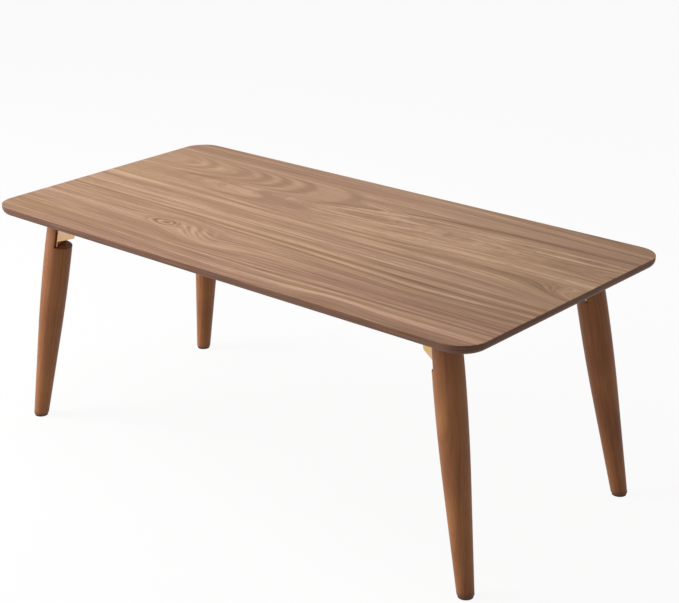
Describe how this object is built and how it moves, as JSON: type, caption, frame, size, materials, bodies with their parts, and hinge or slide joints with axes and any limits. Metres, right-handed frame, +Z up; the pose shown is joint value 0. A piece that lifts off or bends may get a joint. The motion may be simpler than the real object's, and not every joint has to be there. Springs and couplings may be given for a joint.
{
  "type": "chabudai folding low table",
  "caption": "Low oblong table with rounded corners, a wood veneer top and turned, splayed wooden legs that fold inwards under the top on sprung metal lock brackets.",
  "frame": {"origin": "on the floor, under the middle of the top", "axes": "+X along the top's long side, +Y across the top, +Z up"},
  "size_m": [1, 0.5, 0.4],
  "materials": {
    "top_veneer": "walnut veneer with long grain, satin lacquer",
    "board_edge": "core board with a dark stained edge band, satin",
    "underside_stain": "plain orange-brown stained sheet, satin",
    "leg_wood": "turned hardwood, reddish brown stain, satin lacquer",
    "foot_pad": "dark brown plastic pad",
    "plated_steel": "pressed steel, bright yellow plating",
    "screw_steel": "steel wood screws, yellow plating",
    "pin_steel": "bright drawn steel pin",
    "spring_steel": "tempered spring strip, dull grey"
  },
  "bodies": {
    "top": {"top_veneer": "top_veneer", "top_board": "board_edge", "backing_sheet": "underside_stain", "base_bracket_front_left": "plated_steel", "base_screws_front_left": "screw_steel", "pivot_rivet_front_left": "plated_steel", "lever_pin_front_left": "pin_steel", "lever_spring_front_left": "spring_steel", "base_bracket_front_right": "plated_steel", "base_screws_front_right": "screw_steel", "pivot_rivet_front_right": "plated_steel", "lever_pin_front_right": "pin_steel", "lever_spring_front_right": "spring_steel", "base_bracket_back_right": "plated_steel", "base_screws_back_right": "screw_steel", "pivot_rivet_back_right": "plated_steel", "lever_pin_back_right": "pin_steel", "lever_spring_back_right": "spring_steel", "base_bracket_back_left": "plated_steel", "base_screws_back_left": "screw_steel", "pivot_rivet_back_left": "plated_steel", "lever_pin_back_left": "pin_steel", "lever_spring_back_left": "spring_steel"},
    "leg_front_left": {"leg_front_left": "leg_wood", "foot_pad_front_left": "foot_pad", "leg_channel_front_left": "plated_steel", "leg_screws_front_left": "screw_steel", "lock_pin_front_left": "pin_steel"},
    "lever_front_left": {"release_lever_front_left": "plated_steel"},
    "leg_front_right": {"leg_front_right": "leg_wood", "foot_pad_front_right": "foot_pad", "leg_channel_front_right": "plated_steel", "leg_screws_front_right": "screw_steel", "lock_pin_front_right": "pin_steel"},
    "lever_front_right": {"release_lever_front_right": "plated_steel"},
    "leg_back_right": {"leg_back_right": "leg_wood", "foot_pad_back_right": "foot_pad", "leg_channel_back_right": "plated_steel", "leg_screws_back_right": "screw_steel", "lock_pin_back_right": "pin_steel"},
    "lever_back_right": {"release_lever_back_right": "plated_steel"},
    "leg_back_left": {"leg_back_left": "leg_wood", "foot_pad_back_left": "foot_pad", "leg_channel_back_left": "plated_steel", "leg_screws_back_left": "screw_steel", "lock_pin_back_left": "pin_steel"},
    "lever_back_left": {"release_lever_back_left": "plated_steel"}
  },
  "joints": [
    {"name": "leg_fold_front_left", "type": "hinge", "parent": "top", "child": "leg_front_left", "pos_m": [-0.39267, -0.16966, 0.3645], "axis": [0.3907, -0.9205, 0], "range_deg": [0, 102]},
    {"name": "lever_release_front_left", "type": "hinge", "parent": "top", "child": "lever_front_left", "pos_m": [-0.37058, -0.16028, 0.375], "axis": [0.3907, -0.9205, 0], "range_deg": [-12, 10], "stiffness_Nm_per_rad": 0.02, "deforming": ["lever_spring_front_left"]},
    {"name": "leg_fold_front_right", "type": "hinge", "parent": "top", "child": "leg_front_right", "pos_m": [0.39267, -0.16966, 0.3645], "axis": [0.3907, 0.9205, 0], "range_deg": [0, 102]},
    {"name": "lever_release_front_right", "type": "hinge", "parent": "top", "child": "lever_front_right", "pos_m": [0.37058, -0.16028, 0.375], "axis": [0.3907, 0.9205, 0], "range_deg": [-12, 10], "stiffness_Nm_per_rad": 0.02, "deforming": ["lever_spring_front_right"]},
    {"name": "leg_fold_back_right", "type": "hinge", "parent": "top", "child": "leg_back_right", "pos_m": [0.39267, 0.16966, 0.3645], "axis": [-0.3907, 0.9205, 0], "range_deg": [0, 102]},
    {"name": "lever_release_back_right", "type": "hinge", "parent": "top", "child": "lever_back_right", "pos_m": [0.37058, 0.16028, 0.375], "axis": [-0.3907, 0.9205, 0], "range_deg": [-12, 10], "stiffness_Nm_per_rad": 0.02, "deforming": ["lever_spring_back_right"]},
    {"name": "leg_fold_back_left", "type": "hinge", "parent": "top", "child": "leg_back_left", "pos_m": [-0.39267, 0.16966, 0.3645], "axis": [-0.3907, -0.9205, 0], "range_deg": [0, 102]},
    {"name": "lever_release_back_left", "type": "hinge", "parent": "top", "child": "lever_back_left", "pos_m": [-0.37058, 0.16028, 0.375], "axis": [-0.3907, -0.9205, 0], "range_deg": [-12, 10], "stiffness_Nm_per_rad": 0.02, "deforming": ["lever_spring_back_left"]}
  ]
}
